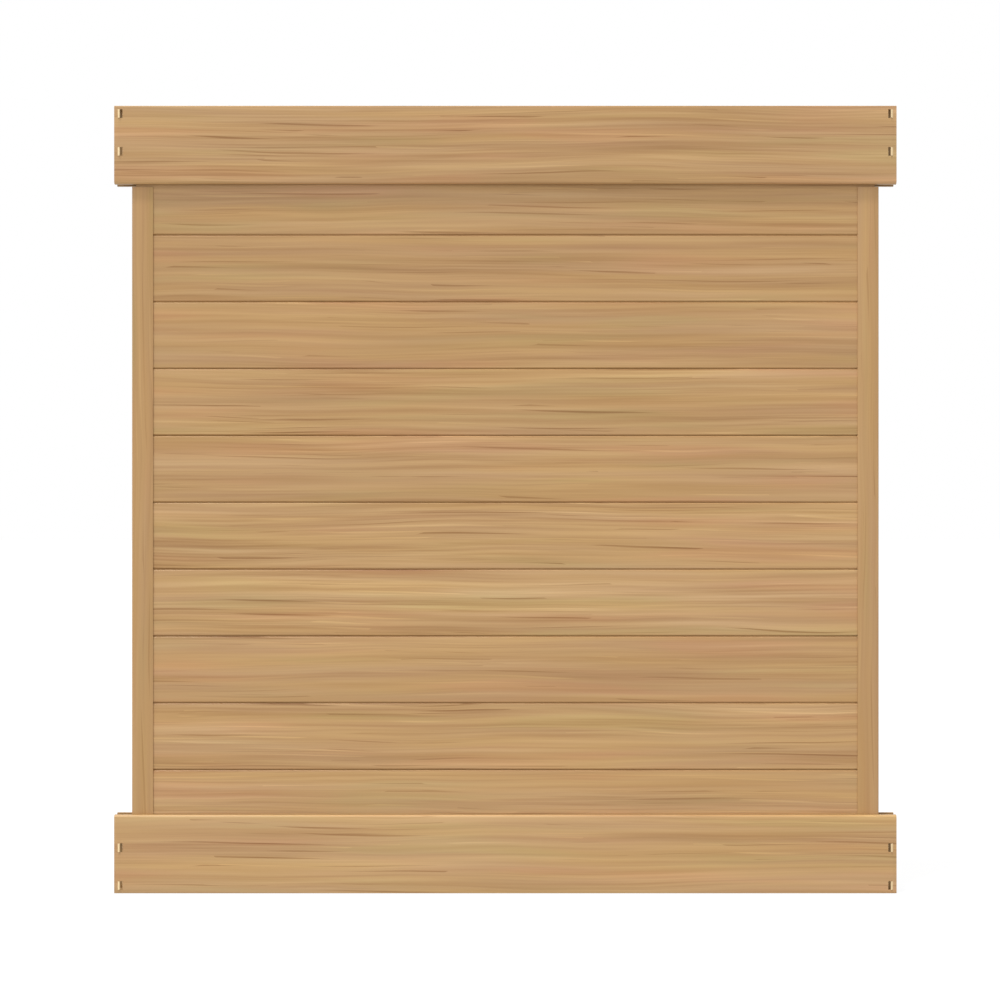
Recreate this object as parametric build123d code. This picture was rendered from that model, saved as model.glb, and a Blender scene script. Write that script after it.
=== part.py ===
from build123d import *

import os
from math import cos, radians, sin

# A vinyl privacy fence panel. Ten hollow tongue-and-groove boards lie across it, one on top of the other.
# The lowest stands in the pocket of the bottom rail and the highest reaches into the pocket of the top
# rail. A U-channel covers the board ends at each side. The rails run on past the channels, so that their
# ends can be pushed into slotted posts, where punched lugs hold them.
# Millimetres. X runs along the rails, Y from front to back and Z up, from under the bottom rail's middle.

# Boards
BOARD_COUNT = 10
BOARD_PITCH = 152.4  # from seam to seam
BOARD_THICKNESS = 22.2
BOARD_WALL = 1.6
BOARD_CELLS = 4  # hollows of a board, one above the other
BOARD_RIB = 1.2  # web between two hollows
BOARD_BEVEL = 2.8  # two of these make the V between boards
BOARD_SEAM_GAP = 0.6  # between the shoulders of two boards, at the foot of that V
BOARD_CELL_BEVEL = 1.8  # on the corners of a hollow, so that the wall behind the V keeps its thickness
BOARD_SIDE_GAP = 0.4  # between a board's face and the pocket or channel around it
BOARD_END_GAP = 7.5  # room for a board to grow on a hot day, inside each channel

# Tongue on a board's upper edge. It reaches the end of the groove above, and so carries the next board
TONGUE_HEIGHT = 12.8
TONGUE_THICKNESS = 9.5
TONGUE_WALL = 1.4
TONGUE_BEVEL = 1.0
TONGUE_SIDE_GAP = 0.4

# Rails
RAIL_LENGTH = 1778.0
RAIL_HEIGHT = 177.8
RAIL_THICKNESS = 50.8
RAIL_WALL = 2.3
RAIL_EDGE_RADIUS = 2.0  # corners of the plain edge
RAIL_LIP_RADIUS = 6.35  # rounder corners on the pocket's side
RAIL_FILLET = 1.5  # inside corners
RAIL_REACH = 38.1  # how far a rail runs on past each channel, into the post
POCKET_DEPTH = 50.8
POCKET_WALL = 1.8
POCKET_MOUTH_RADIUS = 0.8

# Lugs punched in the rail ends: a window with a tab left on the side nearer the end, bent outwards
LUG_END_INSET = 8.2
LUG_WIDTH = 10.6
LUG_HEIGHT = 20.0
LUG_SLIT = 0.4  # cut above and below the tab
LUG_TAB_LENGTH = 4.8
LUG_TAB_ANGLE = 35.0
LUG_OFFSETS = (18.0, 104.0)  # from the rail's plain edge to the middle of each lug

# Drain holes of the bottom rail
DRAIN_COUNT = 4
DRAIN_RADIUS = 4.0
DRAIN_END_INSET = 200.0

# Channels over the board ends
CHANNEL_DEPTH = 48.4
CHANNEL_WALL = 2.0
CHANNEL_CORNER_RADIUS = 3.0
CHANNEL_LIP_RADIUS = 0.8
CHANNEL_TOP_GAP = 5.0  # between a channel and the top rail
SCREW_COUNT = 4  # screw holes in the web of a channel
SCREW_HOLE_RADIUS = 2.6
SCREW_END_INSET = 100.0

# Aluminium stiffener inside the bottom rail
STIFFENER_HEIGHT = 60.0
STIFFENER_WALL = 1.6
STIFFENER_SIDE_GAP = 0.4
STIFFENER_END_INSET = 30.0

# A cut through a wall is this many walls deep, so that it passes both faces
CUT_WALLS = 4

# Sizes that follow
GROOVE_WIDTH = TONGUE_THICKNESS + 2 * TONGUE_SIDE_GAP
GROOVE_DEPTH = TONGUE_HEIGHT - BOARD_SEAM_GAP
BOARD_SHOULDER = BOARD_PITCH - BOARD_SEAM_GAP  # height of a board without its tongue
SLOT_WIDTH = BOARD_THICKNESS + 2 * BOARD_SIDE_GAP  # of the rails' pockets and of the channels
POCKET_FLOOR = RAIL_HEIGHT - POCKET_DEPTH  # measured from the rail's plain edge
CHANNEL_SPAN = RAIL_LENGTH - 2 * RAIL_REACH  # over the outsides of the two channels
CHANNEL_WIDTH = SLOT_WIDTH + 2 * CHANNEL_WALL
BOARD_LENGTH = CHANNEL_SPAN - 2 * (CHANNEL_WALL + BOARD_END_GAP)
STACK_TOP = POCKET_FLOOR + BOARD_COUNT * BOARD_PITCH + GROOVE_DEPTH  # tip of the highest tongue
PANEL_HEIGHT = STACK_TOP + POCKET_FLOOR
CHANNEL_LENGTH = PANEL_HEIGHT - 2 * RAIL_HEIGHT - CHANNEL_TOP_GAP


def cell(left, right, bottom, top):
    """A rectangle given by its four sides."""
    return Pos((left + right) / 2, (bottom + top) / 2) * Rectangle(right - left, top - bottom)


def even_places(first, last, count):
    """Evenly spaced places from first to last."""
    return [first + i * (last - first) / (count - 1) for i in range(count)]


def extrude_along_rail(section, length):
    """A section drawn as seen along the rails, Y to the right and Z up, drawn out both ways."""
    return extrude(Plane.YZ * section, length / 2, both=True)


def board_section():
    """Section of a board, tongue upwards, from the middle of its lower edge."""
    half = BOARD_THICKNESS / 2
    body = chamfer(cell(-half, half, 0, BOARD_SHOULDER).vertices(), BOARD_BEVEL)

    tongue_half = TONGUE_THICKNESS / 2
    tongue_top = BOARD_SHOULDER + TONGUE_HEIGHT
    tongue = cell(-tongue_half, tongue_half, BOARD_SHOULDER - BOARD_WALL, tongue_top)
    tongue = chamfer(tongue.vertices().group_by(Axis.Y)[-1], TONGUE_BEVEL)
    tongue_hollow_half = tongue_half - TONGUE_WALL
    tongue_hollow = cell(-tongue_hollow_half, tongue_hollow_half, BOARD_SHOULDER, tongue_top - TONGUE_WALL)

    hollow_half = half - BOARD_WALL
    ribs = (BOARD_CELLS - 1) * BOARD_RIB
    hollow_height = (BOARD_SHOULDER - 2 * BOARD_WALL - ribs) / BOARD_CELLS
    hollow = chamfer(cell(-hollow_half, hollow_half, 0, hollow_height).vertices(), BOARD_CELL_BEVEL)
    hollow_step = hollow_height + BOARD_RIB
    hollows = [Pos(0, BOARD_WALL + i * hollow_step) * hollow for i in range(BOARD_CELLS)]

    groove_half = GROOVE_WIDTH / 2
    groove = cell(-groove_half, groove_half, 0, GROOVE_DEPTH)
    jacket_half = groove_half + TONGUE_WALL
    groove_jacket = cell(-jacket_half, jacket_half, 0, GROOVE_DEPTH + TONGUE_WALL)
    return body + tongue - hollows - tongue_hollow + groove_jacket - groove


def rail_section():
    """Section of a rail, pocket upwards, from the middle of its plain edge."""
    half = RAIL_THICKNESS / 2
    outline = cell(-half, half, 0, RAIL_HEIGHT)
    outline = fillet(outline.vertices().group_by(Axis.Y)[0], RAIL_EDGE_RADIUS)
    outline = fillet(outline.vertices().group_by(Axis.Y)[-1], RAIL_LIP_RADIUS)

    inner_half = half - RAIL_WALL
    chamber = cell(-inner_half, inner_half, RAIL_WALL, POCKET_FLOOR - POCKET_WALL)
    chamber = fillet(chamber.vertices(), RAIL_FILLET)

    slot_half = SLOT_WIDTH / 2
    side = cell(slot_half + POCKET_WALL, inner_half, POCKET_FLOOR, RAIL_HEIGHT - RAIL_WALL)
    side = fillet(side.vertices().group_by(Axis.Y)[0], RAIL_FILLET)
    side_top = side.vertices().group_by(Axis.Y)[-1].sort_by(Axis.X)
    side = fillet(side_top[-1], RAIL_LIP_RADIUS - RAIL_WALL)

    pocket = cell(-slot_half, slot_half, POCKET_FLOOR, RAIL_HEIGHT)
    section = outline - chamber - side - mirror(side, Plane.YZ) - pocket
    pocket_mouth = section.vertices().group_by(Axis.Y)[-1].sort_by(Axis.X)[1:3]
    return fillet(pocket_mouth, POCKET_MOUTH_RADIUS)


def at_lugs(piece):
    """A piece made for the right front end of a rail, at both heights, both ends, front and back."""
    place = Pos(RAIL_LENGTH / 2 - LUG_END_INSET, -RAIL_THICKNESS / 2, 0)
    right_front = [Pos(0, 0, offset) * place * piece for offset in LUG_OFFSETS]
    right = right_front + [mirror(copy, Plane.XZ) for copy in right_front]
    return right + [mirror(copy, Plane.YZ) for copy in right]


def lug_window():
    """The opening of a lug, through the rail's front wall, with its outer side at the origin."""
    middle = Align.CENTER
    return Box(LUG_WIDTH, CUT_WALLS * RAIL_WALL, LUG_HEIGHT, align=(Align.MAX, middle, middle))


def lug_tab():
    """The tab of a lug: a strip of the wall, bent outwards from the window's outer side."""
    lean = radians(LUG_TAB_ANGLE)
    tip = Vector(-LUG_TAB_LENGTH * cos(lean), -LUG_TAB_LENGTH * sin(lean))
    tip_inside = tip + RAIL_WALL * Vector(-sin(lean), cos(lean))
    plan = make_face(Polyline((0, 0), tip, tip_inside, (0, RAIL_WALL), close=True))
    return extrude(plan, LUG_HEIGHT / 2 - LUG_SLIT, both=True)


def plain_rail():
    """A rail with its lugs, pocket upwards, its plain edge on the ground."""
    return extrude_along_rail(rail_section(), RAIL_LENGTH) - at_lugs(lug_window()) + at_lugs(lug_tab())


def drain_holes():
    """Drills for the drain holes, which go down through the pocket's floor and the rail's plain edge."""
    reach = RAIL_LENGTH / 2 - DRAIN_END_INSET
    drill = Cylinder(DRAIN_RADIUS, RAIL_HEIGHT, align=(Align.CENTER, Align.CENTER, Align.MIN))
    return [Pos(x, 0, 0) * drill for x in even_places(-reach, reach, DRAIN_COUNT)]


def stiffener():
    """An aluminium channel that lies on the bottom rail's lower wall, open side up."""
    half = RAIL_THICKNESS / 2 - RAIL_WALL - STIFFENER_SIDE_GAP
    top = RAIL_WALL + STIFFENER_HEIGHT
    outline = cell(-half, half, RAIL_WALL, top)
    outline = fillet(outline.vertices().group_by(Axis.Y)[0], RAIL_FILLET + STIFFENER_WALL)
    inner_half = half - STIFFENER_WALL
    inside = cell(-inner_half, inner_half, RAIL_WALL + STIFFENER_WALL, top)
    inside = fillet(inside.vertices().group_by(Axis.Y)[0], RAIL_FILLET)
    return extrude_along_rail(outline - inside, RAIL_LENGTH - 2 * STIFFENER_END_INSET) - drain_holes()


def right_channel():
    """The channel over the right ends of the boards. It stands on the bottom rail's upper edge."""
    half = CHANNEL_WIDTH / 2
    outline = cell(-CHANNEL_DEPTH, 0, -half, half)
    outline = fillet(outline.vertices().group_by(Axis.X)[-1], CHANNEL_CORNER_RADIUS)
    slot_half = SLOT_WIDTH / 2
    slot = cell(-CHANNEL_DEPTH, -CHANNEL_WALL, -slot_half, slot_half)
    slot = fillet(slot.vertices().group_by(Axis.X)[-1], CHANNEL_CORNER_RADIUS - CHANNEL_WALL)
    section = outline - slot
    section = fillet(section.vertices().group_by(Axis.X)[0], CHANNEL_LIP_RADIUS)

    drill = Rot(0, 90, 0) * Cylinder(SCREW_HOLE_RADIUS, CUT_WALLS * CHANNEL_WALL)
    heights = even_places(SCREW_END_INSET, CHANNEL_LENGTH - SCREW_END_INSET, SCREW_COUNT)
    channel = extrude(section, CHANNEL_LENGTH) - [Pos(0, 0, z) * drill for z in heights]
    return Pos(CHANNEL_SPAN / 2, 0, RAIL_HEIGHT) * channel


def panel():
    """Every piece of the panel by name, in its place."""
    rail = plain_rail()
    channel = right_channel()
    pieces = {
        "bottom_rail": rail - drain_holes(),
        "top_rail": Pos(0, 0, PANEL_HEIGHT) * Rot(180, 0, 0) * rail,
        "bottom_rail_stiffener": stiffener(),
        "left_channel": mirror(channel, Plane.YZ),
        "right_channel": channel,
    }
    board = extrude_along_rail(board_section(), BOARD_LENGTH)
    for i in range(BOARD_COUNT):
        pieces[f"board_{i + 1:02d}"] = Pos(0, 0, POCKET_FLOOR + i * BOARD_PITCH) * board
    return pieces


os.makedirs("parts", exist_ok=True)
for name, piece in panel().items():
    export_step(piece, f"parts/{name}.step")
    size = piece.bounding_box().size
    print(f"{name}: {size.X:.1f} x {size.Y:.1f} x {size.Z:.1f} mm")
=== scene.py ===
# %% [markdown]
# # A wood-grained vinyl fence panel
#
# The panel is made of hollow vinyl extrusions: ten boards that lock into each other with tongue and groove,
# a wide rail above and below with a pocket for the boards, and a U-channel over the board ends at each side.
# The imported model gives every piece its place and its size. Here each piece is drawn again the way it is
# made in the factory, a section pushed along a straight line, and gets a printed wood grain.

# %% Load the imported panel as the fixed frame
from math import cos, pi, radians, sin

import bmesh
import bpy
from mathutils import Matrix, Vector


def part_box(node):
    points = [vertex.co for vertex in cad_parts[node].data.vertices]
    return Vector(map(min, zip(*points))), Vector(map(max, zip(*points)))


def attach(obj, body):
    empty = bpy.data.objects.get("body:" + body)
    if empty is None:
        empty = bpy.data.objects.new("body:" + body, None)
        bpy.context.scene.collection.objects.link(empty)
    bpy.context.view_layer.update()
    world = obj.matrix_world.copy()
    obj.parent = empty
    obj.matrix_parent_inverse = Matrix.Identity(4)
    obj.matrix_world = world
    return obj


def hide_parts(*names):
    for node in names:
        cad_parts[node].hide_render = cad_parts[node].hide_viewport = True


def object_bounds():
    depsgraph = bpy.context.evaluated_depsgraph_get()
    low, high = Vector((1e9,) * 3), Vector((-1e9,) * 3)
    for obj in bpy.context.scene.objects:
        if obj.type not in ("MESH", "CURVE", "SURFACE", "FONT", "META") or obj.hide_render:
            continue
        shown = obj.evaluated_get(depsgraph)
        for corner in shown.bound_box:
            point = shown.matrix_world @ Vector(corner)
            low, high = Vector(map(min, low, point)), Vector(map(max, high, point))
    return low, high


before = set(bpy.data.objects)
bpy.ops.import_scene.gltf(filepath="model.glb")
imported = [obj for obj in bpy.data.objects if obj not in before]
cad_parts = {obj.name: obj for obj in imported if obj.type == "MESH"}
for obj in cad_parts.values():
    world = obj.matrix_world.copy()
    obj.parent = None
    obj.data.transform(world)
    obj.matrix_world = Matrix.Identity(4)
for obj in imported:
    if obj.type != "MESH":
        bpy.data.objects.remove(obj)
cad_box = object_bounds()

MM = 0.001
print("packed pieces:", len(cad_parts))

# %% [markdown]
# ## Sections
#
# A vinyl extrusion is drawn by its die: one flat outline with hollows in it. Each outline is a closed line
# of corners, and each corner keeps its own rounding in the point's radius, so that one drawing holds both.
# Drawing the sections as curves, and not as meshes, leaves the rounding and the length to one node tree.

# %% A drawing of a section
def draw_section(name, *loops):
    """Closed loops of corners (a, b, rounding), in millimetres, as a flat curve."""
    lines = bpy.data.curves.new(name, "CURVE")
    lines.dimensions = "3D"
    for loop in loops:
        line = lines.splines.new("POLY")
        line.points.add(len(loop) - 1)
        for point, (a, b, rounding) in zip(line.points, loop):
            point.co = (a * MM, b * MM, 0, 1)
            point.radius = rounding * MM
        line.use_cyclic_u = True
    drawing = bpy.data.objects.new(name, lines)
    bpy.context.scene.collection.objects.link(drawing)
    print(f"{name}: {len(loops)} loops, {sum(len(loop) for loop in loops)} corners")
    return drawing


def rectangle(left, right, bottom, top, rounding):
    corners = ((left, bottom), (right, bottom), (right, top), (left, top))
    return [(a, b, rounding) for a, b in corners]


def mirrored(half_loop):
    """A loop that is the same on both sides, from its right half, lowest point first."""
    return half_loop + [(-a, b, rounding) for a, b, rounding in reversed(half_loop)]


# %% [markdown]
# The board's outline has bevels that make the V between two boards, a tongue above and a groove below. Only
# its right half is written down, because the left half mirrors it.

# %% Board outline
BOARD_PITCH = 152.4
SEAM_GAP = 0.6
BOARD_HALF = 11.1
BOARD_BEVEL = 2.8
TONGUE_HALF = 4.75
TONGUE_HEIGHT = 12.8
TONGUE_CHAMFER = 1.0
GROOVE_HALF = 5.15
GROOVE_DEPTH = TONGUE_HEIGHT - SEAM_GAP
SHOULDER = BOARD_PITCH - SEAM_GAP
ARRIS_ROUNDING = 0.9
SHOULDER_ROUNDING = 0.5
TONGUE_ROUNDING = 0.4
GROOVE_ROUNDING = 0.3

tongue_top = SHOULDER + TONGUE_HEIGHT
board_outline = mirrored([
    (GROOVE_HALF, GROOVE_DEPTH, GROOVE_ROUNDING),
    (GROOVE_HALF, 0, TONGUE_ROUNDING),
    (BOARD_HALF - BOARD_BEVEL, 0, SHOULDER_ROUNDING),
    (BOARD_HALF, BOARD_BEVEL, ARRIS_ROUNDING),
    (BOARD_HALF, SHOULDER - BOARD_BEVEL, ARRIS_ROUNDING),
    (BOARD_HALF - BOARD_BEVEL, SHOULDER, SHOULDER_ROUNDING),
    (TONGUE_HALF, SHOULDER, TONGUE_ROUNDING),
    (TONGUE_HALF, tongue_top - TONGUE_CHAMFER, TONGUE_ROUNDING),
    (TONGUE_HALF - TONGUE_CHAMFER, tongue_top, TONGUE_ROUNDING),
])
board_skin = draw_section("board_skin_section", board_outline)

# %% [markdown]
# Four hollows, with thin webs between them, keep the board light and stiff. The lowest one goes round the
# jacket of the groove, and a fifth fills the tongue.

# %% Board hollows
BOARD_WALL = 1.6
BOARD_RIB = 1.2
BOARD_CELLS = 4
TONGUE_WALL = 1.4
HOLLOW_ROUNDING = 2.4
TIGHT_ROUNDING = 0.5

hollow_half = BOARD_HALF - BOARD_WALL
hollow_height = (SHOULDER - 2 * BOARD_WALL - (BOARD_CELLS - 1) * BOARD_RIB) / BOARD_CELLS
hollow_floors = [BOARD_WALL + i * (hollow_height + BOARD_RIB) for i in range(BOARD_CELLS)]
jacket_half = GROOVE_HALF + TONGUE_WALL
lowest_hollow = mirrored([
    (jacket_half, GROOVE_DEPTH + TONGUE_WALL, TIGHT_ROUNDING),
    (jacket_half, BOARD_WALL, TIGHT_ROUNDING),
    (hollow_half, BOARD_WALL, HOLLOW_ROUNDING),
    (hollow_half, BOARD_WALL + hollow_height, HOLLOW_ROUNDING),
])
upper_hollows = [rectangle(-hollow_half, hollow_half, floor, floor + hollow_height, HOLLOW_ROUNDING)
                 for floor in hollow_floors[1:]]
tongue_inside = TONGUE_HALF - TONGUE_WALL
tongue_hollow = rectangle(-tongue_inside, tongue_inside, SHOULDER, tongue_top - TONGUE_WALL, TIGHT_ROUNDING)
board_hollows = draw_section("board_hollow_section", lowest_hollow, tongue_hollow, *upper_hollows)

# %% [markdown]
# The rail's section: plain edge below, and above it the pocket that the boards stand in, between two narrow
# hollows. The pocket's side has the rounder edges. The top rail is the same extrusion, turned over.

# %% Rail section
RAIL_HALF = 25.4
RAIL_HEIGHT = 177.8
RAIL_WALL = 2.3
RAIL_EDGE_RADIUS = 2.0
RAIL_LIP_RADIUS = 6.35
CHAMBER_ROUNDING = 1.5
POCKET_HALF = 11.5
POCKET_FLOOR = 127.0
POCKET_WALL = 1.8
MOUTH_ROUNDING = 0.8

rail_outline = mirrored([
    (POCKET_HALF, POCKET_FLOOR, TIGHT_ROUNDING),
    (POCKET_HALF, RAIL_HEIGHT, MOUTH_ROUNDING),
    (RAIL_HALF, RAIL_HEIGHT, RAIL_LIP_RADIUS),
    (RAIL_HALF, 0, RAIL_EDGE_RADIUS),
])
rail_inside = RAIL_HALF - RAIL_WALL
rail_chamber = rectangle(-rail_inside, rail_inside, RAIL_WALL, POCKET_FLOOR - POCKET_WALL, CHAMBER_ROUNDING)
side_hollow = [
    (POCKET_HALF + POCKET_WALL, POCKET_FLOOR, CHAMBER_ROUNDING),
    (rail_inside, POCKET_FLOOR, CHAMBER_ROUNDING),
    (rail_inside, RAIL_HEIGHT - RAIL_WALL, RAIL_LIP_RADIUS - RAIL_WALL),
    (POCKET_HALF + POCKET_WALL, RAIL_HEIGHT - RAIL_WALL, TIGHT_ROUNDING),
]
other_side_hollow = [(-a, b, rounding) for a, b, rounding in side_hollow]
rail_skin = draw_section("rail_skin_section", rail_outline)
rail_hollows = draw_section("rail_hollow_section", rail_chamber, side_hollow, other_side_hollow)

# %% [markdown]
# The channel is a plain U that slips over the board ends, and the stiffener is a U of aluminium that lies
# inside the bottom rail. Neither has hollows, so one helper draws both.

# %% Channel and stiffener sections
CHANNEL_DEPTH = 48.4
CHANNEL_HALF = 13.5
CHANNEL_WALL = 2.0
CHANNEL_RADIUS = 3.0
CHANNEL_LIP_ROUNDING = 0.8
STIFFENER_HALF = 22.7
STIFFENER_HEIGHT = 60.0
STIFFENER_WALL = 1.6
STIFFENER_RADIUS = 3.1
STIFFENER_LIP_ROUNDING = 0.3


def u_section(name, half, depth, wall, outer_radius, inner_radius, lip_radius):
    """A U with its web at zero and its legs reaching down, seen along the extrusion."""
    inside = half - wall
    right = [(half, -depth, lip_radius), (half, 0, outer_radius)]
    left = [(-half, 0, outer_radius), (-half, -depth, lip_radius)]
    slot = [(-inside, -depth, lip_radius), (-inside, -wall, inner_radius),
            (inside, -wall, inner_radius), (inside, -depth, lip_radius)]
    return draw_section(name, right + left + slot)


channel_skin = u_section("channel_section", CHANNEL_HALF, CHANNEL_DEPTH, CHANNEL_WALL,
                         CHANNEL_RADIUS, CHANNEL_RADIUS - CHANNEL_WALL, CHANNEL_LIP_ROUNDING)
stiffener_skin = u_section("stiffener_section", STIFFENER_HALF, STIFFENER_HEIGHT, STIFFENER_WALL,
                           STIFFENER_RADIUS, STIFFENER_RADIUS - STIFFENER_WALL, STIFFENER_LIP_ROUNDING)

# %% [markdown]
# ## Materials
#
# The vinyl carries a printed wood grain: long soft streaks, thin dark strokes and a few pale ones, on a warm
# tan that leans to yellow or grey in one place and to pink or green in another. Some stretches are calm and
# some are busy. An image would be the quick way, but it has one fixed size and repeats. Noise that is
# stretched along the grain has neither fault, so the grain is one node group that every printed piece
# shares. It works in metres, on the object's own coordinates, so a streak is as long on the real thing as it
# is here. Node trees are wordy in a script, so three helpers come first.

# %% Helpers for node trees
NUMBER = "NodeSocketFloat"
COLOUR = "NodeSocketColor"


def put(tree, kind, wires=(), **options):
    """A new node with its options, and with each input either set to a value or wired to an output."""
    made = tree.nodes.new(kind)
    for option, value in options.items():
        setattr(made, option, value)
    for key, value in dict(wires).items():
        if isinstance(value, bpy.types.NodeSocket):
            tree.links.new(value, made.inputs[key])
        else:
            made.inputs[key].default_value = value
    return made


def calc(tree, operation, *values, clamp=False):
    """One step of arithmetic on values or outputs."""
    return put(tree, "ShaderNodeMath", enumerate(values), operation=operation, use_clamp=clamp).outputs[0]


def new_group(name, kind, inputs, outputs):
    """An empty node group with its named sockets, and the two nodes that carry them."""
    group = bpy.data.node_groups.new(name, kind)
    for label, socket, value in inputs:
        made = group.interface.new_socket(label, in_out="INPUT", socket_type=socket)
        if value is not None:
            made.default_value = value
    for label, socket in outputs:
        group.interface.new_socket(label, in_out="OUTPUT", socket_type=socket)
    print(f"group {name}: {len(inputs)} inputs, {len(outputs)} outputs")
    return group, group.nodes.new("NodeGroupInput").outputs, group.nodes.new("NodeGroupOutput").inputs


# %% [markdown]
# A streak layer is smooth noise stretched along the grain. Layers of different length and width, from
# patches as wide as three fingers to hairlines, make up the print. The seed picks another slice of the
# noise, so that no two layers agree.

# %% One layer of streaks
def streaks(tree, along, across, length, width, detail, seed):
    """Noise between 0 and 1 whose blotches are about this long and wide, in metres."""
    place = put(tree, "ShaderNodeCombineXYZ", {
        "X": calc(tree, "DIVIDE", along, length),
        "Y": calc(tree, "DIVIDE", across, width),
        "Z": seed,
    }).outputs[0]
    return put(tree, "ShaderNodeTexNoise", {
        "Vector": place, "Scale": 1.0, "Detail": detail, "Roughness": 0.5,
    }).outputs[0]


# %% [markdown]
# A stroke is a single thin lens of colour, crisp above and soft below, with a slight slant and one end that
# fades. Voronoi cells, stretched along the grain, give each stroke a place of its own and three random
# numbers: the first sets its length and the end that fades, the second its width and slant, and the third
# whether it is drawn at all. A wide noise, the flock, decides where many are drawn, so that they come in
# loose groups as in real timber.

# %% One layer of strokes
SLANT = 0.03
SHORTEST = 0.45
THINNEST = 0.3
UPPER_FLANK = 1.7
LOWER_FLANK = 0.6
FLANK_SOFTNESS = 0.55
END_FADE = 1.4
STROKE_STRENGTH = 0.8


def strokes(tree, along, across, cell_length, cell_width, half_length, half_width, flock, share):
    """A mask of thin lens-shaped strokes. About this share of the cells draw one."""
    place = put(tree, "ShaderNodeCombineXYZ", {
        "X": calc(tree, "DIVIDE", along, cell_length),
        "Y": calc(tree, "DIVIDE", across, cell_width),
    }).outputs[0]
    cells = put(tree, "ShaderNodeTexVoronoi", {"Vector": place, "Scale": 1.0, "Randomness": 0.75},
                voronoi_dimensions="2D")
    dice = put(tree, "ShaderNodeSeparateColor", {0: cells.outputs["Color"]}).outputs
    away = put(tree, "ShaderNodeVectorMath", {0: place, 1: cells.outputs["Position"]}, operation="SUBTRACT")
    away = put(tree, "ShaderNodeSeparateXYZ", {0: away.outputs[0]}).outputs
    away_along = calc(tree, "MULTIPLY", away["X"], cell_length)
    away_across = calc(tree, "MULTIPLY", away["Y"], cell_width)
    slope = calc(tree, "MULTIPLY_ADD", dice[1], 2 * SLANT, -SLANT)
    away_across = calc(tree, "MULTIPLY_ADD", away_along, slope, away_across)
    away_across = calc(tree, "MAXIMUM", calc(tree, "MULTIPLY", away_across, UPPER_FLANK),
                       calc(tree, "MULTIPLY", away_across, -LOWER_FLANK))
    reach = calc(tree, "MULTIPLY_ADD", dice[0], (1 - SHORTEST) * half_length, SHORTEST * half_length)
    girth = calc(tree, "MULTIPLY_ADD", dice[1], (1 - THINNEST) * half_width, THINNEST * half_width)
    share_along = calc(tree, "DIVIDE", away_along, reach)
    taper = calc(tree, "SUBTRACT", 1.0, calc(tree, "POWER", share_along, 2.0), clamp=True)
    inside = calc(tree, "SUBTRACT", calc(tree, "MULTIPLY", taper, girth), away_across)
    lens = calc(tree, "DIVIDE", inside, FLANK_SOFTNESS * half_width, clamp=True)
    one_end = calc(tree, "MULTIPLY", calc(tree, "SUBTRACT", dice[0], 0.5), END_FADE)
    fade = calc(tree, "MULTIPLY_ADD", share_along, one_end, STROKE_STRENGTH, clamp=True)
    drawn = calc(tree, "LESS_THAN", dice[2], calc(tree, "MULTIPLY", flock, share))
    return calc(tree, "MULTIPLY", calc(tree, "MULTIPLY", lens, fade), drawn)


# %% [markdown]
# The group first finds its place on the film. Every strip of vinyl is cut from somewhere else on it, so the
# strip's number throws three dice: two move the print, and the third gives the strip a tone and a contrast
# of its own. Then a slow bend and a quick wiggle take the straightness out of the grain.

# %% The wood print: place on the film
FILM_LENGTH = 40.0
FILM_WIDTH = 9.0
BEND = 0.032
WIGGLE = 0.004

wood_print, given, result = new_group(
    "wood print", "ShaderNodeTree",
    [("Along", NUMBER, 0.0), ("Across", NUMBER, 0.0), ("Strip", NUMBER, 0.0), ("Brightness", NUMBER, 1.0),
     ("Contrast", NUMBER, 1.0)],
    [("Color", COLOUR), ("Roughness", NUMBER), ("Height", NUMBER)],
)
g = wood_print
strip = put(g, "ShaderNodeTexWhiteNoise", {"W": given["Strip"]}, noise_dimensions="1D")
strip_dice = put(g, "ShaderNodeSeparateColor", {0: strip.outputs["Color"]}).outputs
along = calc(g, "MULTIPLY_ADD", strip_dice[1], FILM_LENGTH, given["Along"])
across = calc(g, "MULTIPLY_ADD", strip_dice[2], FILM_WIDTH, given["Across"])
bend = calc(g, "SUBTRACT", streaks(g, along, across, length=0.60, width=0.16, detail=1.0, seed=1.5), 0.5)
wiggle = calc(g, "SUBTRACT", streaks(g, along, across, length=0.18, width=0.03, detail=1.0, seed=2.5), 0.5)
across = calc(g, "MULTIPLY_ADD", bend, BEND, across)
across = calc(g, "MULTIPLY_ADD", wiggle, WIGGLE, across)
print("nodes that place the print:", len(g.nodes))

# %% [markdown]
# Four layers of streaks add up to the tone, which is 1 where the vinyl has its plain colour. Patches and
# bands are there everywhere. The fine streaks and the hairlines swell in busy stretches and nearly vanish in
# calm ones, which is what keeps a print from looking like even noise.

# %% The wood print: streaks and tone
STRIP_TONE = 0.06
STRIP_CONTRAST = 0.5


def between(tree, value, low, high, to_low=0.0, to_high=1.0):
    """The value's place between low and high, carried over to another span and kept inside it."""
    return put(tree, "ShaderNodeMapRange", {
        "Value": value, "From Min": low, "From Max": high, "To Min": to_low, "To Max": to_high,
    }).outputs[0]


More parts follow.
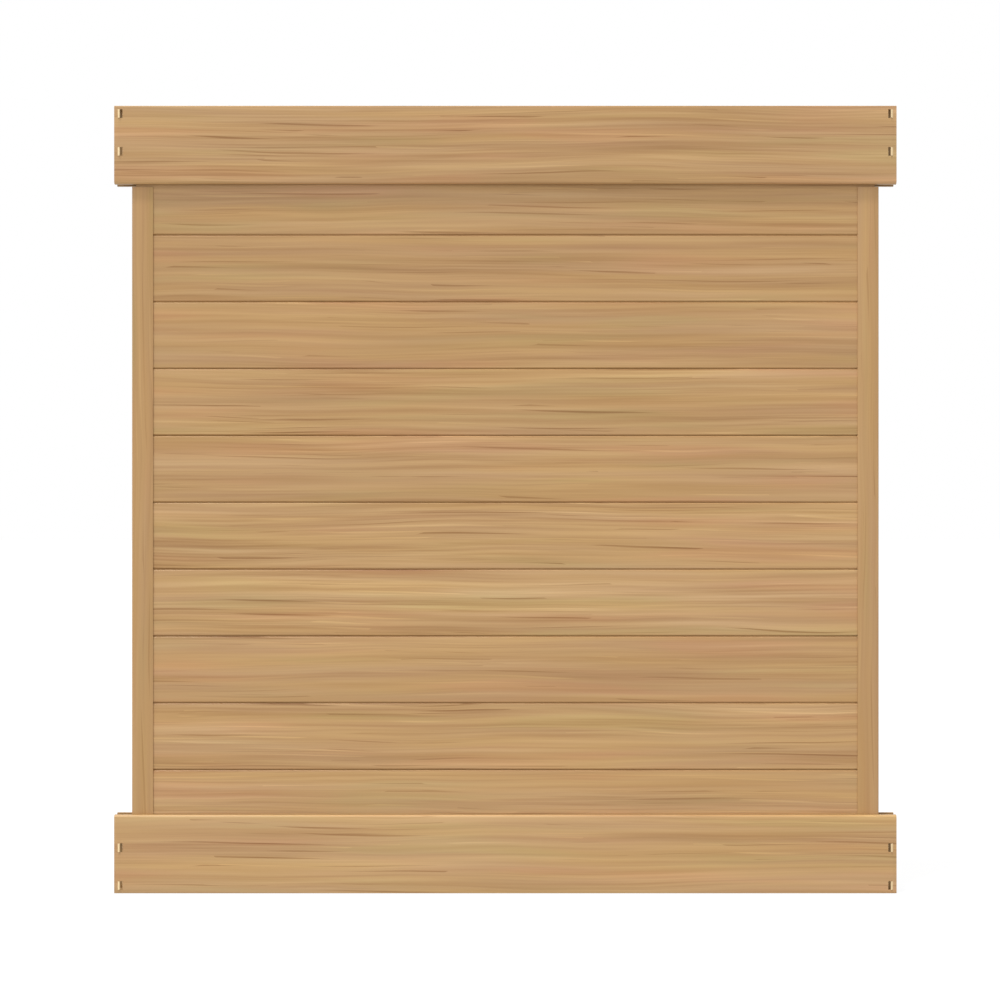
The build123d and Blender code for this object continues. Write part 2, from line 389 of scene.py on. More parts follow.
patch = streaks(g, along, across, length=1.00, width=0.055, detail=1.0, seed=3.5)
band = streaks(g, along, across, length=0.62, width=0.012, detail=2.0, seed=4.5)
fine = streaks(g, along, across, length=0.34, width=0.0038, detail=2.0, seed=5.5)
hair = streaks(g, along, across, length=0.18, width=0.0014, detail=1.0, seed=6.5)
busy = streaks(g, along, across, length=0.85, width=0.065, detail=1.0, seed=10.5)
busy = between(g, busy, 0.36, 0.64, to_low=0.15, to_high=1.35)
tone = calc(g, "MULTIPLY", calc(g, "SUBTRACT", strip_dice[0], 0.5), STRIP_TONE)
for layer, weight in ((patch, 0.54), (band, 0.74)):
    tone = calc(g, "MULTIPLY_ADD", calc(g, "SUBTRACT", layer, 0.5), weight, tone)
for layer, weight in ((fine, 0.52), (hair, 0.22)):
    change = calc(g, "MULTIPLY", calc(g, "SUBTRACT", layer, 0.5), weight)
    tone = calc(g, "MULTIPLY_ADD", change, busy, tone)
contrast = calc(g, "MULTIPLY_ADD", strip_dice[0], STRIP_CONTRAST, 1.0 - STRIP_CONTRAST / 2)
contrast = calc(g, "MULTIPLY", contrast, given["Contrast"])
tone = calc(g, "MULTIPLY_ADD", tone, contrast, given["Brightness"])
print("nodes with the tone:", len(g.nodes))

# %% [markdown]
# Three layers of strokes lie on the streaks: long dark ones, short thin dark ones near them, and long pale
# ones with flocks of their own. The pale layer is moved across by an odd amount, so that its cells don't
# fall on the dark ones.

# %% The wood print: strokes
FLOCK_START = 0.40
FLOCK_FULL = 0.68
PALE_LAYER_SHIFT = 0.437
SHORT_STROKE_SHARE = 0.7

flock = streaks(g, along, across, length=0.55, width=0.045, detail=1.0, seed=8.5)
flock = between(g, flock, FLOCK_START, FLOCK_FULL)
pale_flock = streaks(g, along, across, length=0.60, width=0.050, detail=1.0, seed=9.5)
pale_flock = between(g, pale_flock, FLOCK_START, FLOCK_FULL)
long_strokes = strokes(g, along, across, cell_length=0.54, cell_width=0.016,
                       half_length=0.260, half_width=0.0027, flock=flock, share=1.00)
short_strokes = strokes(g, along, across, cell_length=0.26, cell_width=0.0090,
                        half_length=0.120, half_width=0.0012, flock=flock, share=0.28)
pale_across = calc(g, "ADD", across, PALE_LAYER_SHIFT)
pale_strokes = strokes(g, along, pale_across, cell_length=0.54, cell_width=0.012,
                       half_length=0.260, half_width=0.0026, flock=pale_flock, share=0.85)
pale = calc(g, "MULTIPLY", pale_strokes, contrast, clamp=True)
dark = calc(g, "MAXIMUM", long_strokes, calc(g, "MULTIPLY", short_strokes, SHORT_STROKE_SHARE))
dark = calc(g, "MULTIPLY", dark, contrast, clamp=True)
print("nodes with the strokes:", len(g.nodes))

# %% [markdown]
# The colour starts from the tan. One wide noise leans it to yellow or grey and another to pink or green, the
# second one squared so that most of the vinyl stays neutral. The tone then works on red, green and blue with
# different powers, because a dark streak is redder than the tan and a pale one is nearer to cream.

# %% The wood print: colour
TAN = (0.527, 0.308, 0.1285, 1)
YELLOWER = (1.028, 1.026, 0.956, 1)
GREYER = (0.972, 0.974, 1.044, 1)
PINKER = (1.035, 0.968, 1.004, 1)
GREENER = (0.965, 1.032, 0.996, 1)
DARK_STROKE = (0.65, 0.555, 0.435, 1)
PALE_STROKE = (1.18, 1.24, 1.26, 1)
TONE_POWERS = (0.72, 0.98, 1.30)


def mix_colour(tree, share, first, second, blend="MIX"):
    mixed = put(tree, "ShaderNodeMix", {0: share, 6: first, 7: second}, data_type="RGBA", blend_type=blend)
    return mixed.outputs[2]


warm = streaks(g, along, across, length=0.60, width=0.030, detail=1.0, seed=7.5)
warm = between(g, warm, 0.32, 0.68)
rosy = streaks(g, along, across, length=0.50, width=0.040, detail=1.0, seed=11.5)
rosy = between(g, rosy, 0.30, 0.70, to_low=-1.0, to_high=1.0)
rosy = calc(g, "MULTIPLY_ADD", calc(g, "MULTIPLY", rosy, calc(g, "ABSOLUTE", rosy)), 0.5, 0.5)
colour = mix_colour(g, 1.0, TAN, mix_colour(g, warm, GREYER, YELLOWER), "MULTIPLY")
colour = mix_colour(g, 1.0, colour, mix_colour(g, rosy, GREENER, PINKER), "MULTIPLY")
tone_colour = put(g, "ShaderNodeCombineColor", {
    part: calc(g, "POWER", tone, power) for part, power in enumerate(TONE_POWERS)
}).outputs[0]
colour = mix_colour(g, 1.0, colour, tone_colour, "MULTIPLY")
colour = mix_colour(g, pale, colour, mix_colour(g, 1.0, colour, PALE_STROKE, "MULTIPLY"))
colour = mix_colour(g, dark, colour, mix_colour(g, 1.0, colour, DARK_STROKE, "MULTIPLY"))
g.links.new(colour, result["Color"])
print("nodes with the colour:", len(g.nodes))

# %% [markdown]
# The grain of such vinyl is pressed in as well as printed. So the height follows the same fine streaks,
# hairlines and dark strokes, and the strokes are a little rougher than the satin between them.

# %% The wood print: roughness and height
SATIN = 0.38
FINE_ROUGHNESS = 0.16
STROKE_ROUGHNESS = 0.10
FINE_RELIEF = 0.5
HAIR_RELIEF = 0.35
STROKE_RELIEF = 0.6

rough = calc(g, "MULTIPLY_ADD", fine, FINE_ROUGHNESS, SATIN)
rough = calc(g, "MULTIPLY_ADD", dark, STROKE_ROUGHNESS, rough)
height = calc(g, "MULTIPLY_ADD", fine, FINE_RELIEF, calc(g, "MULTIPLY", hair, HAIR_RELIEF))
height = calc(g, "SUBTRACT", height, calc(g, "MULTIPLY", dark, STROKE_RELIEF))
g.links.new(rough, result["Roughness"])
g.links.new(height, result["Height"])
print("wood print nodes:", len(g.nodes))

# %% [markdown]
# A printed material only has to say which way the grain runs on its piece. On boards and rails it runs
# along X, on channels along Z. The second direction is Z or X less Y, so that the print wraps round an edge
# without a jump, as the film does. Going back in Y also moves the print along, so that front and back differ.

# %% Printed vinyl
EMBOSS_DEPTH = 0.0003
EMBOSS_STRENGTH = 0.5
SHIFT_TO_BACK = 3.7


def finish_material(name, tree_builder):
    material = bpy.data.materials.new(name)
    material.use_nodes = True
    tree = material.node_tree
    shader = tree.nodes["Principled BSDF"]
    place = put(tree, "ShaderNodeTexCoord").outputs["Object"]
    tree_builder(tree, shader, put(tree, "ShaderNodeSeparateXYZ", {0: place}).outputs)
    print(f"material {name}: {len(tree.nodes)} nodes")
    return material


def bump(tree, shader, height, depth, strength):
    raised = put(tree, "ShaderNodeBump", {"Height": height, "Distance": depth, "Strength": strength})
    tree.links.new(raised.outputs[0], shader.inputs["Normal"])


def printed(name, strip, upright=False, brightness=1.0, contrast=1.0, edge=None):
    """Printed vinyl. The strip, and the painted shade at an edge if there is one, are built from the place on
    the piece.
    """
    def build(tree, shader, at):
        wrap = calc(tree, "SUBTRACT", at["X"] if upright else at["Z"], at["Y"])
        run = calc(tree, "MULTIPLY_ADD", at["Y"], SHIFT_TO_BACK, at["Z"] if upright else at["X"])
        grain = put(tree, "ShaderNodeGroup", node_tree=wood_print)
        grain.inputs["Brightness"].default_value = brightness
        grain.inputs["Contrast"].default_value = contrast
        for label, value in (("Along", run), ("Across", wrap), ("Strip", strip(tree, at))):
            tree.links.new(value, grain.inputs[label])
        if edge:
            tree.links.new(edge(tree, at), grain.inputs["Brightness"])
        tree.links.new(grain.outputs["Color"], shader.inputs["Base Color"])
        tree.links.new(grain.outputs["Roughness"], shader.inputs["Roughness"])
        bump(tree, shader, grain.outputs["Height"], EMBOSS_DEPTH, EMBOSS_STRENGTH)
    return finish_material(name, build)


# %% [markdown]
# On a board, the strip's number comes from the height counted in boards, so that one material serves all
# ten and each still has its own print. The upper edge of a board and its upward bevel below the seam are a
# little darker: this is painted shade, which dims the lamp's light there. That height within the board comes
# from the same count.

# %% Board vinyl
FIRST_BOARD_STRIP = 248.0
# How much painted shade darkens a board's upper edge.
EDGE_PAINTED_SHADE = 0.14


def boards_up(tree, at):
    """The height above the pocket's floor, counted in boards."""
    above_floor = calc(tree, "SUBTRACT", at["Z"], (POCKET_FLOOR - SEAM_GAP / 2) * MM)
    return calc(tree, "DIVIDE", above_floor, BOARD_PITCH * MM)


def board_number(tree, at):
    return calc(tree, "ADD", calc(tree, "FLOOR", boards_up(tree, at)), FIRST_BOARD_STRIP)


def painted_shade_upper_edge(tree, at):
    """The brightness of a board's print, lowered by painted shade at the upper edge and coming back on the
    bevel.
    """
    height = calc(tree, "FRACT", boards_up(tree, at))
    arris = 1.0 - (BOARD_BEVEL + SEAM_GAP) / BOARD_PITCH
    half_bevel = 0.5 * BOARD_BEVEL / BOARD_PITCH
    fall = between(tree, height, arris - 0.5 * half_bevel, arris, 1.0, 1.0 - EDGE_PAINTED_SHADE)
    rise = between(tree, height, arris + half_bevel, arris + 2.0 * half_bevel, 0.0, EDGE_PAINTED_SHADE)
    return calc(tree, "ADD", fall, rise)


# The board print carries a band of painted shade at each board's upper edge.
board_vinyl = printed("printed board vinyl", board_number, edge=painted_shade_upper_edge)

# %% [markdown]
# The rails are a touch paler than the boards, and the channels a touch darker and much calmer. Each of them
# is a strip of its own as well, told apart by which half of the panel it is in.

# %% Rail and channel vinyl
TOP_RAIL_STRIP = 8.0
BOTTOM_RAIL_STRIP = 9.0
LEFT_CHANNEL_STRIP = 5.0
RIGHT_CHANNEL_STRIP = 0.0
panel_middle = (cad_box[0][2] + cad_box[1][2]) / 2


def upper_or_lower(tree, at):
    upper = calc(tree, "GREATER_THAN", at["Z"], panel_middle)
    return calc(tree, "MULTIPLY_ADD", upper, TOP_RAIL_STRIP - BOTTOM_RAIL_STRIP, BOTTOM_RAIL_STRIP)


def left_or_right(tree, at):
    right = calc(tree, "GREATER_THAN", at["X"], 0.0)
    return calc(tree, "MULTIPLY_ADD", right, RIGHT_CHANNEL_STRIP - LEFT_CHANNEL_STRIP, LEFT_CHANNEL_STRIP)


rail_vinyl = printed("printed rail vinyl", upper_or_lower, brightness=1.055)
channel_vinyl = printed("printed channel vinyl", left_or_right, upright=True, brightness=0.955, contrast=0.52)

# %% [markdown]
# The die leaves faint lines along a hollow, the saw leaves them up and down a cut end, and aluminium has
# drawn lines too, so one group of fine parallel lines with a soft cloud over them serves all plain finishes.

# %% Fine parallel lines group
LINE_SHARE = 0.6

fine_lines, given, result = new_group(
    "fine parallel lines", "ShaderNodeTree",
    [("Along", NUMBER, 0.0), ("Across", NUMBER, 0.0), ("Spacing", NUMBER, 0.002), ("Length", NUMBER, 0.3)],
    [("Shade", NUMBER), ("Height", NUMBER)],
)
g = fine_lines
lines = streaks(g, given["Along"], given["Across"], given["Length"], given["Spacing"], detail=3.0, seed=0.7)
cloud = streaks(g, given["Along"], given["Across"], length=0.08, width=0.05, detail=2.0, seed=4.2)
shade = calc(g, "MULTIPLY_ADD", lines, LINE_SHARE, calc(g, "MULTIPLY", cloud, 1.0 - LINE_SHARE))
g.links.new(shade, result["Shade"])
g.links.new(lines, result["Height"])
print("fine line nodes:", len(g.nodes))

# %% [markdown]
# Inside its hollows and its pocket the vinyl has no print, and its dark brown there is painted shade. A saw
# cut shows a tan between that dark brown and the print. The tabs are much paler. Each finish lies between two
# colours.

# %% Plain vinyl and aluminium
LINE_DEPTH = 0.0001
LINE_STRENGTH = 0.4
ROUGHNESS_SPREAD = 0.2


def lined(name, dark, pale, along_axis, across_axis, spacing, length, roughness, metallic=0.0):
    """A finish between two colours, with lines this far apart and this long, in metres."""
    def build(tree, shader, at):
        across = at[across_axis]
        if across_axis == "Z":
            across = calc(tree, "ADD", at["Z"], at["Y"])
        lines = put(tree, "ShaderNodeGroup", node_tree=fine_lines)
        lines.inputs["Spacing"].default_value = spacing
        lines.inputs["Length"].default_value = length
        tree.links.new(at[along_axis], lines.inputs["Along"])
        tree.links.new(across, lines.inputs["Across"])
        tree.links.new(mix_colour(tree, lines.outputs["Shade"], dark, pale), shader.inputs["Base Color"])
        rough = calc(tree, "MULTIPLY_ADD", lines.outputs["Shade"], ROUGHNESS_SPREAD,
                     roughness - ROUGHNESS_SPREAD / 2)
        tree.links.new(rough, shader.inputs["Roughness"])
        shader.inputs["Metallic"].default_value = metallic
        bump(tree, shader, lines.outputs["Height"], LINE_DEPTH, LINE_STRENGTH)
    return finish_material(name, build)


# The dark brown of the hollows is painted shade on unprinted vinyl.
shade_painted_hollow_vinyl = lined("plain vinyl in hollows", (0.31, 0.175, 0.062, 1), (0.41, 0.240, 0.090, 1),
                     "X", "Z", spacing=0.004, length=0.6, roughness=0.45)
cut_vinyl = lined("saw-cut vinyl", (0.42, 0.26, 0.115, 1), (0.56, 0.37, 0.180, 1),
                  "Z", "Y", spacing=0.0008, length=0.02, roughness=0.60)
# The tabs' finish is a pale tan, much paler than the print.
pale_tab_vinyl = lined("vinyl whitened by bending", (0.86, 0.62, 0.32, 1), (0.99, 0.78, 0.47, 1),
                   "Z", "Y", spacing=0.0030, length=0.03, roughness=0.50)
drawn_aluminium = lined("drawn aluminium", (0.66, 0.67, 0.69, 1), (0.82, 0.83, 0.84, 1),
                        "X", "Z", spacing=0.0015, length=0.5, roughness=0.50, metallic=0.6)

# %% [markdown]
# ## Extrusions
#
# All the long pieces follow one rule, so one Geometry Nodes tree makes them: it rounds the drawn corners,
# sweeps the outline and the hollows along a line of the given length, and closes both ends with the section
# itself. The sweep runs up the Z axis first, because there a drawing's own X and Y keep their directions,
# and the whole piece is turned and moved at the end.

# %% The extrusion tree: walls
GEOMETRY = "NodeSocketGeometry"
extrusion, given, result = new_group(
    "extrusion", "GeometryNodeTree",
    [("Geometry", GEOMETRY, None),
     ("Outline", "NodeSocketObject", None), ("Hollows", "NodeSocketObject", None),
     ("Length", NUMBER, 1.0), ("Steps", "NodeSocketInt", 2), ("Corner Steps", "NodeSocketInt", 5),
     ("Turn", "NodeSocketRotation", None), ("Place", "NodeSocketVector", None),
     ("Outside", "NodeSocketMaterial", None), ("Inside", "NodeSocketMaterial", None),
     ("Ends", "NodeSocketMaterial", None)],
    [("Geometry", GEOMETRY)],
)
extrusion.is_modifier = True
g = extrusion
half_length = calc(g, "MULTIPLY", given["Length"], 0.5)
top_end = put(g, "ShaderNodeCombineXYZ", {"Z": half_length}).outputs[0]
low_end = put(g, "ShaderNodeCombineXYZ", {"Z": calc(g, "MULTIPLY", half_length, -1.0)}).outputs[0]
path = put(g, "GeometryNodeCurvePrimitiveLine", {"Start": low_end, "End": top_end}).outputs[0]
path = put(g, "GeometryNodeResampleCurve", {"Curve": path, "Count": given["Steps"]}).outputs[0]
rounding = put(g, "GeometryNodeInputRadius").outputs[0]
parts, loops = [], []
for drawing, finish in (("Outline", "Outside"), ("Hollows", "Inside")):
    lines = put(g, "GeometryNodeObjectInfo", {"Object": given[drawing]}).outputs["Geometry"]
    rounded = put(g, "GeometryNodeFilletCurve", {
        "Curve": lines, "Count": given["Corner Steps"], "Radius": rounding, "Limit Radius": True,
    }, mode="POLY").outputs[0]
    rounded = put(g, "GeometryNodeSetCurveRadius", {"Curve": rounded, "Radius": 1.0}).outputs[0]
    wall = put(g, "GeometryNodeCurveToMesh", {"Curve": path, "Profile Curve": rounded}).outputs[0]
    parts.append(put(g, "GeometryNodeSetMaterial", {"Geometry": wall, "Material": given[finish]}).outputs[0])
    loops.append(rounded)
print("nodes for the walls:", len(g.nodes))

# %% [markdown]
# An end is the section itself, filled. Fill Curve leaves out a loop that lies inside another, which is just
# what a hollow is. Both ends and the walls are then joined, their doubled points are merged, and the piece
# goes to its place.

# %% The extrusion tree: ends and place
MERGE_DISTANCE = 2e-6


def join(tree, shapes):
    joined = put(tree, "GeometryNodeJoinGeometry")
    for shape in shapes:
        tree.links.new(shape, joined.inputs[0])
    return joined.outputs[0]


cap = put(g, "GeometryNodeFillCurve", {"Curve": join(g, loops)}, mode="TRIANGLES").outputs[0]
cap = put(g, "GeometryNodeSetMaterial", {"Geometry": cap, "Material": given["Ends"]}).outputs[0]
for end in (top_end, low_end):
    parts.append(put(g, "GeometryNodeTransform", {"Geometry": cap, "Translation": end}).outputs[0])
closed = put(g, "GeometryNodeMergeByDistance", {"Geometry": join(g, parts), "Distance": MERGE_DISTANCE})
turned = put(g, "GeometryNodeTransform", {
    "Geometry": closed.outputs[0], "Translation": given["Place"], "Rotation": given["Turn"],
}).outputs[0]
real = put(g, "GeometryNodeRealizeInstances", {"Geometry": turned}).outputs[0]
g.links.new(real, result["Geometry"])
print("extrusion nodes:", len(g.nodes))

# %% [markdown]
# A modifier's inputs are known by identifier, so a small helper looks each one up by its label. After the
# tree has run, the result becomes a plain mesh, its normals are made to point outwards, and only edges
# that are really sharp stay sharp.

# %% Run a tree and keep its mesh
SHARP_ANGLE = radians(32)
SMALLEST_EDGE = 1e-7


def new_piece(name):
    piece = bpy.data.objects.new(name, bpy.data.meshes.new(name))
    bpy.context.scene.collection.objects.link(piece)
    return piece


def run_tree(piece, tree, **inputs):
    """Runs a node tree on a piece with these inputs, and leaves the piece as a plain mesh."""
    modifier = piece.modifiers.new(tree.name, "NODES")
    modifier.node_group = tree
    labels = {item.name: item.identifier for item in tree.interface.items_tree
              if item.item_type == "SOCKET" and item.in_out == "INPUT"}
    for label, value in inputs.items():
        modifier[labels[label.replace("_", " ").title()]] = value
    bpy.context.view_layer.update()
    ready = piece.evaluated_get(bpy.context.evaluated_depsgraph_get())
    mesh = bpy.data.meshes.new_from_object(ready)
    piece.modifiers.remove(modifier)
    old = piece.data
    piece.data = mesh
    bpy.data.meshes.remove(old)
    return piece


def tidy_mesh(piece):
    """Closed doubles, outward faces, and smooth shading up to the sharp angle."""
    work = bmesh.new()
    work.from_mesh(piece.data)
    loose = [edge for edge in work.edges if not edge.link_faces]
    bmesh.ops.delete(work, geom=loose, context="EDGES")
    bmesh.ops.remove_doubles(work, verts=work.verts, dist=MERGE_DISTANCE)
    bmesh.ops.dissolve_degenerate(work, edges=work.edges, dist=SMALLEST_EDGE)
    bmesh.ops.recalc_face_normals(work, faces=work.faces)
    open_edges = sum(1 for edge in work.edges if len(edge.link_faces) != 2)
    work.to_mesh(piece.data)
    work.free()
    for face in piece.data.polygons:
        face.use_smooth = True
    piece.data.set_sharp_from_angle(angle=SHARP_ANGLE)
    print(f"{piece.name}: {len(piece.data.polygons)} faces, {open_edges} open edges")
    return piece


# %% [markdown]
# ## Boards
#
# Ten boards come from one section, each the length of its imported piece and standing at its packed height.
# They could be one array, but each is a piece that can be taken out, so each is an object of its own.

# %% Ten boards
ALONG_RAIL = (pi / 2, 0.0, pi / 2)
PATH_POINTS = 2
CORNER_STEPS = 5


def extrude(name, outline, hollows, length, turn, place, finishes):
    outside, inside, ends = finishes
    return run_tree(
        new_piece(name), extrusion, outline=outline, hollows=hollows, length=length, steps=PATH_POINTS,
        corner_steps=CORNER_STEPS, turn=turn, place=place, outside=outside, inside=inside, ends=ends,
    )


boards = []
for node in [f"board_{number:02d}" for number in range(1, 11)]:
    low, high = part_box(node)
    board = extrude(f"printed_{node}", board_skin, board_hollows, high.x - low.x, ALONG_RAIL,
                    (0.0, 0.0, low.z), (board_vinyl, shade_painted_hollow_vinyl, cut_vinyl))
    boards.append((tidy_mesh(board), node, "board_vinyl"))

# %% [markdown]
# ## Rails
#
# A rail is one more extrusion, with four lugs punched in each end: a small window, with a tab left on the
# side nearer the end and bent outwards, which springs behind the edge of the post. The tab is an extrusion
# as well, seen from above. Its root reaches a little into the rail's wall and stays a hair inside its faces,
# so that joining the two leaves no faces on top of each other.

# %% Lug tab and window
LUG_INSET = 8.2
LUG_WIDTH = 10.6
LUG_HEIGHT = 20.0
LUG_SLIT = 0.4
TAB_LENGTH = 4.8
TAB_LEAN = radians(35)
TAB_ROOT = 0.6
SKIM = 0.04
BEND_OUTSIDE = 1.2
BEND_INSIDE = 1.0
TIP_OUTSIDE = 0.5
TIP_INSIDE = 0.4
UNTURNED = (0.0, 0.0, 0.0)
RAIL_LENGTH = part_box("bottom_rail")[1].x * 2 / MM

hinge = RAIL_LENGTH / 2 - LUG_INSET
tip = Vector((-cos(TAB_LEAN), -sin(TAB_LEAN))) * TAB_LENGTH
tip_inside = tip + Vector((-sin(TAB_LEAN), cos(TAB_LEAN))) * RAIL_WALL
tab_section = draw_section("lug_tab_section", [
    (hinge + TAB_ROOT, SKIM - RAIL_HALF, 0),
    (hinge, SKIM - RAIL_HALF, BEND_OUTSIDE),
    (hinge + tip.x, tip.y - RAIL_HALF, TIP_OUTSIDE),
    (hinge + tip_inside.x, tip_inside.y - RAIL_HALF, TIP_INSIDE),
    (hinge, RAIL_WALL - SKIM - RAIL_HALF, BEND_INSIDE),
    (hinge + TAB_ROOT, RAIL_WALL - SKIM - RAIL_HALF, 0),
])
window_section = draw_section("lug_window_section", rectangle(
    hinge - LUG_WIDTH, hinge, -RAIL_HALF - 2 * RAIL_WALL, 2 * RAIL_WALL - RAIL_HALF, 0.0))
tab = extrude("lug_tab", tab_section, None, (LUG_HEIGHT - 2 * LUG_SLIT) * MM, UNTURNED, UNTURNED,
              (pale_tab_vinyl, pale_tab_vinyl, cut_vinyl))
window = extrude("lug_window", window_section, None, LUG_HEIGHT * MM, UNTURNED, UNTURNED,
                 (cut_vinyl, cut_vinyl, cut_vinyl))
for cutter in (tab, window):
    tidy_mesh(cutter)

# %% [markdown]
# The lugs repeat, so Geometry Nodes place them: at both ends and on both sides by half turns, because a
# mirrored copy would be inside out, and at both heights as instances on a line of points. The tree then cuts
# the windows out of the rail and joins the tabs to it.

# %% The punching tree
HALF_TURNS = ((0.0, 0.0, 0.0), (pi, 0.0, 0.0), (0.0, pi, 0.0), (0.0, 0.0, pi))
punching, given, result = new_group(
    "punching", "GeometryNodeTree",
    [("Geometry", GEOMETRY, None), ("Window", "NodeSocketObject", None), ("Tab", "NodeSocketObject", None),
     ("Lowest", NUMBER, 0.018), ("Spacing", NUMBER, 0.086), ("Heights", "NodeSocketInt", 2),
     ("Cut", "NodeSocketMaterial", None)],
    [("Geometry", GEOMETRY)],
)
punching.is_modifier = True
g = punching
heights = put(g, "GeometryNodeMeshLine", {
    "Count": given["Heights"],
    "Start Location": put(g, "ShaderNodeCombineXYZ", {"Z": given["Lowest"]}).outputs[0],
    "Offset": put(g, "ShaderNodeCombineXYZ", {"Z": given["Spacing"]}).outputs[0],
}, mode="OFFSET").outputs[0]
placed = {}
for label in ("Window", "Tab"):
    shape = put(g, "GeometryNodeObjectInfo", {"Object": given[label]}).outputs["Geometry"]
    four = join(g, [put(g, "GeometryNodeTransform", {"Geometry": shape, "Rotation": half_turn}).outputs[0]
                    for half_turn in HALF_TURNS])
    eight = put(g, "GeometryNodeInstanceOnPoints", {"Points": heights, "Instance": four}).outputs[0]
    placed[label] = put(g, "GeometryNodeRealizeInstances", {"Geometry": eight}).outputs[0]
windows = put(g, "GeometryNodeSetMaterial", {"Geometry": placed["Window"], "Material": given["Cut"]})
cut = put(g, "GeometryNodeMeshBoolean", {"Mesh 1": given["Geometry"], "Mesh 2": windows.outputs[0]},
          operation="DIFFERENCE", solver="EXACT").outputs[0]
joined = put(g, "GeometryNodeMeshBoolean", {"Mesh 2": cut}, operation="UNION", solver="EXACT")
g.links.new(placed["Tab"], joined.inputs["Mesh 2"])
real = put(g, "GeometryNodeRealizeInstances", {"Geometry": joined.outputs[0]}).outputs[0]
g.links.new(real, result["Geometry"])
print("punching nodes:", len(g.nodes))

# %% [markdown]
# Round holes repeat too: four drain holes through the bottom rail and the stiffener, and four screw holes
# in the web of each channel. One more tree sets a row of drills and takes them away.

# %% The drilling tree
DRILL_SIDES = 32
drilling, given, result = new_group(
    "drilling", "GeometryNodeTree",
    [("Geometry", GEOMETRY, None), ("Count", "NodeSocketInt", 4), ("First", "NodeSocketVector", None),
     ("Step", "NodeSocketVector", None), ("Radius", NUMBER, 0.004), ("Depth", NUMBER, 0.4),
     ("Turn", "NodeSocketRotation", None), ("Bore", "NodeSocketMaterial", None)],
    [("Geometry", GEOMETRY)],
)
drilling.is_modifier = True
g = drilling
row = put(g, "GeometryNodeMeshLine", {
    "Count": given["Count"], "Start Location": given["First"], "Offset": given["Step"],
}, mode="OFFSET").outputs[0]
drill = put(g, "GeometryNodeMeshCylinder", {
    "Vertices": DRILL_SIDES, "Radius": given["Radius"], "Depth": given["Depth"],
}).outputs["Mesh"]
drill = put(g, "GeometryNodeTransform", {"Geometry": drill, "Rotation": given["Turn"]}).outputs[0]
drills = put(g, "GeometryNodeInstanceOnPoints", {"Points": row, "Instance": drill}).outputs[0]
drills = put(g, "GeometryNodeRealizeInstances", {"Geometry": drills}).outputs[0]
drills = put(g, "GeometryNodeSetMaterial", {"Geometry": drills, "Material": given["Bore"]}).outputs[0]
bored = put(g, "GeometryNodeMeshBoolean", {"Mesh 1": given["Geometry"], "Mesh 2": drills},
            operation="DIFFERENCE", solver="EXACT").outputs[0]
real = put(g, "GeometryNodeRealizeInstances", {"Geometry": bored}).outputs[0]
g.links.new(real, result["Geometry"])
print("drilling nodes:", len(g.nodes))

# %% [markdown]
# Both rails are punched alike. The pocket and the flat tops of the lips, between the lips' rounded edges, get
# the dark plain finish of the hollows, which is painted shade there: it deepens the shade under the top rail
# and darkens the flat top of the bottom rail's lips. Its faces are known by where they lie. The bottom rail
# also gets its drain holes, which go through its underside and the pocket's floor. The top rail is turned
# over and lifted by changing its mesh, not its object, so that it stays at the origin like every other piece.

# %% Bottom and top rail
LUG_LOWEST = 18.0
LUG_SPACING = 86.0
LUG_HEIGHTS = 2
DRAIN_COUNT = 4
DRAIN_RADIUS = 4.0
DRAIN_INSET = 200.0
drain_first = Vector((DRAIN_INSET - RAIL_LENGTH / 2, 0, 0)) * MM
drain_step = Vector(((RAIL_LENGTH - 2 * DRAIN_INSET) / (DRAIN_COUNT - 1), 0, 0)) * MM


def paint_pocket_shade(rail):
    """Paints shade on the faces between the lips, from where their rounding ends to the pocket's floor, with
    the plain finish of the hollows.
    """
    finishes = rail.data.materials
    film, plain = finishes.find(rail_vinyl.name), finishes.find(shade_painted_hollow_vinyl.name)
    lip_rounding_end = (RAIL_HALF - RAIL_LIP_RADIUS) * MM
    above_chamber = (POCKET_FLOOR - POCKET_WALL / 2) * MM
    pocket_shade_faces = [face for face in rail.data.polygons if face.material_index == film
            and abs(face.center.y) < lip_rounding_end and face.center.z > above_chamber]
    for face in pocket_shade_faces:
        face.material_index = plain
    print(f"{rail.name}: {len(pocket_shade_faces)} faces without film")
    return rail


def punched_rail(name):
    rail = extrude(name, rail_skin, rail_hollows, RAIL_LENGTH * MM, ALONG_RAIL, UNTURNED,
                   (rail_vinyl, shade_painted_hollow_vinyl, cut_vinyl))
    return run_tree(paint_pocket_shade(tidy_mesh(rail)), punching, window=window, tab=tab,
                    lowest=LUG_LOWEST * MM, spacing=LUG_SPACING * MM, heights=LUG_HEIGHTS, cut=cut_vinyl)


def drain(piece, bore):
    return run_tree(piece, drilling, count=DRAIN_COUNT, first=drain_first, step=drain_step,
                    radius=DRAIN_RADIUS * MM, depth=2 * RAIL_HEIGHT * MM, turn=UNTURNED, bore=bore)


bottom_rail = drain(punched_rail("printed_bottom_rail"), cut_vinyl)
top_rail = punched_rail("printed_top_rail")
panel_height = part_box("top_rail")[1].z
top_rail.data.transform(Matrix.Translation((0, 0, panel_height)) @ Matrix.Rotation(pi, 4, "X"))
for helper in (tab, window):
    bpy.data.objects.remove(helper)

# %% [markdown]
# ## Channels and stiffener
#
# The channel's section lies flat, web to the outside, and is pushed upwards. The left one is the right
# one turned half round, which is the same shape because its front and back match.

